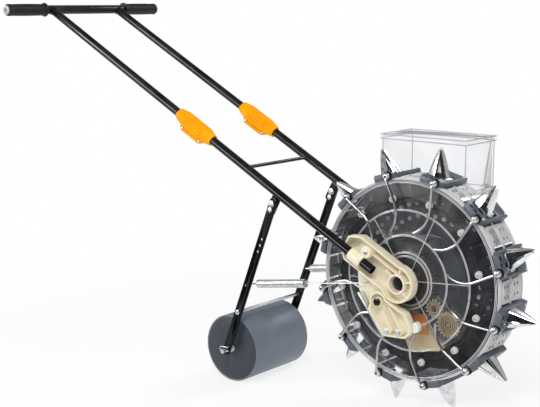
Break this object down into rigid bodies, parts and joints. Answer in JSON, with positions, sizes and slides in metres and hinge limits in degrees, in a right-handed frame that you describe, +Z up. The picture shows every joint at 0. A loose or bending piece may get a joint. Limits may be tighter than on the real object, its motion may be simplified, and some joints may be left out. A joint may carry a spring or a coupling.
{
  "type": "walk-behind seed planter",
  "caption": "Hand-pushed seed planter: a clear drum ringed with opening duckbill beaks, a side hopper with a geared seed wheel, twin push tubes and a sprung press roller.",
  "frame": {"origin": "on the ground under the middle of the machine's length and width", "axes": "+X forward, the way it is pushed; +Y to the machine's left, the hopper side; +Z up"},
  "size_m": [1.2591, 0.488, 0.8993],
  "materials": {
    "black_tube": "gloss black",
    "black_plug": "black",
    "grip_rubber": "matt black",
    "orange_plastic": "orange",
    "gate_plastic": "orange",
    "ivory_plastic": "ivory",
    "white_plastic": "white",
    "zinc": "zinc plated",
    "beak_steel": "zinc plated",
    "spring_steel": "zinc plated",
    "axle_steel": "plain",
    "clear_plastic": "clear",
    "lid_plastic": "clear",
    "grey_plastic": "slate grey",
    "dark_plastic": "near black",
    "tan_plastic": "tan",
    "amber_gear": "amber brown",
    "arm_black": "gloss black",
    "roller_grey": "slate grey",
    "bush_nylon": "natural"
  },
  "bodies": {
    "frame": {"near_lower_tube": "black_tube", "far_lower_tube": "black_tube", "near_upper_tube": "black_tube", "far_upper_tube": "black_tube", "handle_crossbar": "black_tube", "brace_rod": "black_tube", "arm_lugs": "black_tube", "handle_plugs": "black_plug", "handle_grips": "grip_rubber", "connector_outers": "orange_plastic", "connector_inners": "orange_plastic", "seed_gate": "gate_plastic", "near_bracket": "ivory_plastic", "far_bracket": "ivory_plastic", "opening_cam": "ivory_plastic", "cam_pad": "white_plastic", "bracket_bolts": "zinc", "hinge_bolts": "zinc", "wear_strip": "zinc", "axle_tube": "axle_steel", "axle_spacers": "axle_steel", "hopper_bin": "clear_plastic", "side_plate": "grey_plastic", "seed_chute": "dark_plastic", "housing_cover": "dark_plastic", "seed_housing": "tan_plastic"},
    "drum": {"near_shell": "clear_plastic", "far_shell": "clear_plastic", "chamber_ring": "dark_plastic", "sun_gear": "amber_gear", "beak_bases": "grey_plastic", "fixed_jaws": "beak_steel"},
    "idler": {"idler_gear": "amber_gear"},
    "seed_metering": {"metering_gear": "amber_gear", "seed_wheel": "amber_gear"},
    "hopper_cover": {"hopper_lid": "lid_plastic"},
    "roller_arm": {"near_arm": "arm_black", "far_arm": "arm_black", "stop_bolts": "zinc", "stay_rod": "zinc", "roller_axle": "zinc", "roller_clips": "zinc", "near_spring": "spring_steel", "far_spring": "spring_steel"},
    "press_roller": {"roller_drum": "roller_grey", "roller_caps": "roller_grey", "roller_bushes": "bush_nylon"},
    "beak_01": {"beak_lever_01": "beak_steel"},
    "beak_02": {"beak_lever_02": "beak_steel"},
    "beak_03": {"beak_lever_03": "beak_steel"},
    "beak_04": {"beak_lever_04": "beak_steel"},
    "beak_05": {"beak_lever_05": "beak_steel"},
    "beak_06": {"beak_lever_06": "beak_steel"},
    "beak_07": {"beak_lever_07": "beak_steel"},
    "beak_08": {"beak_lever_08": "beak_steel"},
    "beak_09": {"beak_lever_09": "beak_steel"},
    "beak_10": {"beak_lever_10": "beak_steel"},
    "beak_11": {"beak_lever_11": "beak_steel"},
    "beak_12": {"beak_lever_12": "beak_steel"}
  },
  "joints": [
    {"name": "drum_spin", "type": "hinge", "parent": "frame", "child": "drum", "pos_m": [0.36907, 0, 0.2605], "axis": [0, 1, 0], "continuous": true},
    {"name": "idler_spin", "type": "hinge", "parent": "frame", "child": "idler", "pos_m": [0.42519, 0, 0.20705], "axis": [0, 1, 0], "continuous": true},
    {"name": "seed_wheel_spin", "type": "hinge", "parent": "frame", "child": "seed_metering", "pos_m": [0.45577, 0, 0.17753], "axis": [0, 1, 0], "continuous": true},
    {"name": "lid_lift", "type": "slide", "parent": "frame", "child": "hopper_cover", "axis": [0.0872, 0, 0.9962], "range_m": [0, 0.15]},
    {"name": "arm_swing", "type": "hinge", "parent": "frame", "child": "roller_arm", "pos_m": [0.06842, 0, 0.4142], "axis": [0, 1, 0], "range_deg": [-5, 5], "stiffness_Nm_per_rad": 140, "springref_deg": -5.44, "deforming": ["near_spring", "far_spring"]},
    {"name": "roller_spin", "type": "hinge", "parent": "roller_arm", "child": "press_roller", "pos_m": [-0.09993, 0, 0.0765], "axis": [0, 1, 0], "continuous": true},
    {"name": "beak_open_01", "type": "hinge", "parent": "drum", "child": "beak_01", "pos_m": [0.33957, -0.022, 0.47044], "axis": [0, 1, 0], "range_deg": [0, 20], "stiffness_Nm_per_rad": 0.5, "springref_deg": -17.19},
    {"name": "beak_open_02", "type": "hinge", "parent": "drum", "child": "beak_02", "pos_m": [0.44849, -0.022, 0.45706], "axis": [0, 1, 0], "range_deg": [0, 20], "stiffness_Nm_per_rad": 0.5, "springref_deg": -17.19},
    {"name": "beak_open_03", "type": "hinge", "parent": "drum", "child": "beak_03", "pos_m": [0.53613, -0.022, 0.39102], "axis": [0, 1, 0], "range_deg": [0, 20], "stiffness_Nm_per_rad": 0.5, "springref_deg": -17.19},
    {"name": "beak_open_04", "type": "hinge", "parent": "drum", "child": "beak_04", "pos_m": [0.57901, -0.022, 0.29], "axis": [0, 1, 0], "range_deg": [0, 20], "stiffness_Nm_per_rad": 0.5, "springref_deg": -17.19},
    {"name": "beak_open_05", "type": "hinge", "parent": "drum", "child": "beak_05", "pos_m": [0.56563, -0.022, 0.18108], "axis": [0, 1, 0], "range_deg": [0, 20], "stiffness_Nm_per_rad": 0.5, "springref_deg": -17.19},
    {"name": "beak_open_06", "type": "hinge", "parent": "drum", "child": "beak_06", "pos_m": [0.49959, -0.022, 0.09344], "axis": [0, 1, 0], "range_deg": [0, 20], "stiffness_Nm_per_rad": 0.5, "springref_deg": -17.19},
    {"name": "beak_open_07", "type": "hinge", "parent": "drum", "child": "beak_07", "pos_m": [0.39858, -0.022, 0.05056], "axis": [0, 1, 0], "range_deg": [0, 20], "stiffness_Nm_per_rad": 0.5, "springref_deg": -17.19},
    {"name": "beak_open_08", "type": "hinge", "parent": "drum", "child": "beak_08", "pos_m": [0.28965, -0.022, 0.06394], "axis": [0, 1, 0], "range_deg": [0, 20], "stiffness_Nm_per_rad": 0.5, "springref_deg": -17.19},
    {"name": "beak_open_09", "type": "hinge", "parent": "drum", "child": "beak_09", "pos_m": [0.20201, -0.022, 0.12998], "axis": [0, 1, 0], "range_deg": [0, 20], "stiffness_Nm_per_rad": 0.5, "springref_deg": -17.19},
    {"name": "beak_open_10", "type": "hinge", "parent": "drum", "child": "beak_10", "pos_m": [0.15913, -0.022, 0.23099], "axis": [0, 1, 0], "range_deg": [0, 20], "stiffness_Nm_per_rad": 0.5, "springref_deg": -17.19},
    {"name": "beak_open_11", "type": "hinge", "parent": "drum", "child": "beak_11", "pos_m": [0.17251, -0.022, 0.33992], "axis": [0, 1, 0], "range_deg": [0, 20], "stiffness_Nm_per_rad": 0.5, "springref_deg": -17.19},
    {"name": "beak_open_12", "type": "hinge", "parent": "drum", "child": "beak_12", "pos_m": [0.23855, -0.022, 0.42756], "axis": [0, 1, 0], "range_deg": [0, 20], "stiffness_Nm_per_rad": 0.5, "springref_deg": -17.19}
  ],
  "couplings": [
    {"joint": "idler_spin", "follows": "drum_spin", "ratio": -3.4286},
    {"joint": "seed_wheel_spin", "follows": "drum_spin", "ratio": 2.4}
  ]
}
